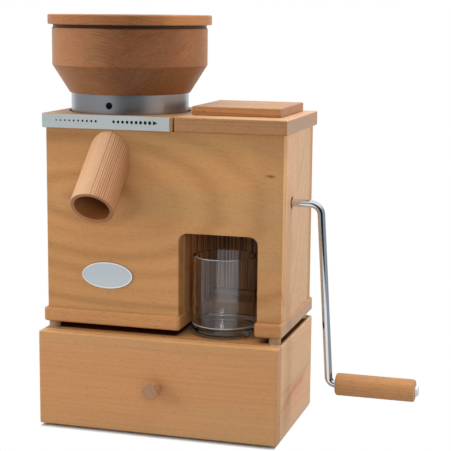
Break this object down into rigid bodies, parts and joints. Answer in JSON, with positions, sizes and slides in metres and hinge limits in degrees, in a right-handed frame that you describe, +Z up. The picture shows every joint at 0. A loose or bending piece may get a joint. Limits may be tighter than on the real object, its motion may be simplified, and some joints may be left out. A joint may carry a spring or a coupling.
{
  "type": "grain mill",
  "caption": "Beech grain mill with a round hopper and slanted spout, joined to a hand-cranked flaker with a catch-glass niche, on a drawer base.",
  "frame": {"origin": "centre of the drawer base's underside, drawer front included, on the surface the object stands on", "axes": "+Z up, -Y towards the drawer front and the spout, +X towards the crank"},
  "size_m": [0.483, 0.2583, 0.5086],
  "materials": {
    "beech": "oiled beech, satin",
    "turned_beech": "oiled turned beech, satin",
    "brushed_aluminium": "brushed, satin",
    "badge_metal": "fine brushed, bare",
    "chromed_steel": "polished chrome plate",
    "machined_steel": "machined",
    "zinc_screw": "zinc plated",
    "bronze": "sintered bronze",
    "black_plastic": "black moulded",
    "grey_plastic": "grey moulded",
    "millstone": "corundum ceramic, rough",
    "motor_paint": "dark enamel",
    "foot_rubber": "grey soft rubber",
    "clear_glass": "clear pressed glass"
  },
  "bodies": {
    "housing": {"base_left_side": "beech", "base_right_side": "beech", "base_top_panel": "beech", "base_bottom_panel": "beech", "base_back_panel": "beech", "lower_board": "beech", "front_panel": "beech", "back_panel": "beech", "left_side_panel": "beech", "right_side_panel": "beech", "partition_panel": "beech", "top_board_left": "beech", "top_board_right": "beech", "spout": "turned_beech", "scale_plate": "brushed_aluminium", "badge_plate": "badge_metal", "motor_bearings": "machined_steel", "flaker_plates": "machined_steel", "motor_plate": "machined_steel", "feed_funnel": "machined_steel", "flake_chute": "machined_steel", "stator_core": "machined_steel", "panel_screws": "zinc_screw", "motor_bolts": "zinc_screw", "roller_bushes": "bronze", "switch_frame": "black_plastic", "cable_gland": "black_plastic", "capacitor": "black_plastic", "milling_chamber": "grey_plastic", "motor_can": "motor_paint", "motor_end_shield": "motor_paint", "mill_feet": "foot_rubber"},
    "drawer": {"drawer_front": "beech", "drawer_left_side": "beech", "drawer_right_side": "beech", "drawer_back": "beech", "drawer_floor": "beech", "drawer_knob": "beech"},
    "motor_rotor": {"motor_shaft": "machined_steel", "rotor_core": "machined_steel", "cooling_fan": "black_plastic", "stone_hub": "grey_plastic", "lower_millstone": "millstone"},
    "hopper_unit": {"hopper": "turned_beech", "collar_ring": "brushed_aluminium", "index_stud": "black_plastic"},
    "upper_stone_unit": {"stone_holder": "grey_plastic", "upper_millstone": "millstone"},
    "hopper_cover": {"hopper_lid": "turned_beech"},
    "flaker_cover": {"flaker_lid": "beech"},
    "crank": {"crank_rod": "chromed_steel", "handle_cap": "chromed_steel", "drive_roller": "machined_steel", "drive_gear": "machined_steel"},
    "idler": {"idler_roller": "machined_steel", "idler_gear": "machined_steel"},
    "grip": {"crank_handle": "turned_beech"},
    "glass": {"catch_glass": "clear_glass"},
    "switch_key": {"switch_rocker": "black_plastic"}
  },
  "joints": [
    {"name": "drawer_slide", "type": "slide", "parent": "housing", "child": "drawer", "axis": [0, -1, 0], "range_m": [0, 0.12]},
    {"name": "hopper_turn", "type": "hinge", "parent": "housing", "child": "hopper_unit", "pos_m": [-0.0705, 0.015, 0.4], "axis": [0, 0, 1], "range_deg": [-60, 60]},
    {"name": "stone_lift", "type": "slide", "parent": "hopper_unit", "child": "upper_stone_unit", "axis": [0, 0, 1], "range_m": [-0.00055, 0.00055]},
    {"name": "motor_spin", "type": "hinge", "parent": "housing", "child": "motor_rotor", "pos_m": [-0.0705, 0.015, 0.25], "axis": [0, 0, 1], "continuous": true},
    {"name": "hopper_lid_lift", "type": "slide", "parent": "hopper_unit", "child": "hopper_cover", "axis": [0, 0, 1], "range_m": [0, 0.06]},
    {"name": "flaker_lid_lift", "type": "slide", "parent": "housing", "child": "flaker_cover", "axis": [0, 0, 1], "range_m": [0, 0.04]},
    {"name": "crank_turn", "type": "hinge", "parent": "housing", "child": "crank", "pos_m": [0.15, -0.022, 0.2871], "axis": [1, 0, 0], "continuous": true},
    {"name": "idler_turn", "type": "hinge", "parent": "housing", "child": "idler", "pos_m": [0.08, 0.01, 0.2871], "axis": [1, 0, 0], "continuous": true},
    {"name": "handle_spin", "type": "hinge", "parent": "crank", "child": "grip", "pos_m": [0.25, -0.022, 0.0665], "axis": [1, 0, 0], "continuous": true},
    {"name": "glass_slide", "type": "slide", "parent": "housing", "child": "glass", "axis": [0, -1, 0], "range_m": [0, 0.11]},
    {"name": "switch_rock", "type": "hinge", "parent": "housing", "child": "switch_key", "pos_m": [-0.112, 0.0896, 0.3277], "axis": [1, 0, 0], "range_deg": [-16, 0]}
  ],
  "couplings": [
    {"joint": "idler_turn", "follows": "crank_turn", "ratio": -1},
    {"joint": "stone_lift", "follows": "hopper_turn", "m_per_rad": 0.00047746}
  ]
}
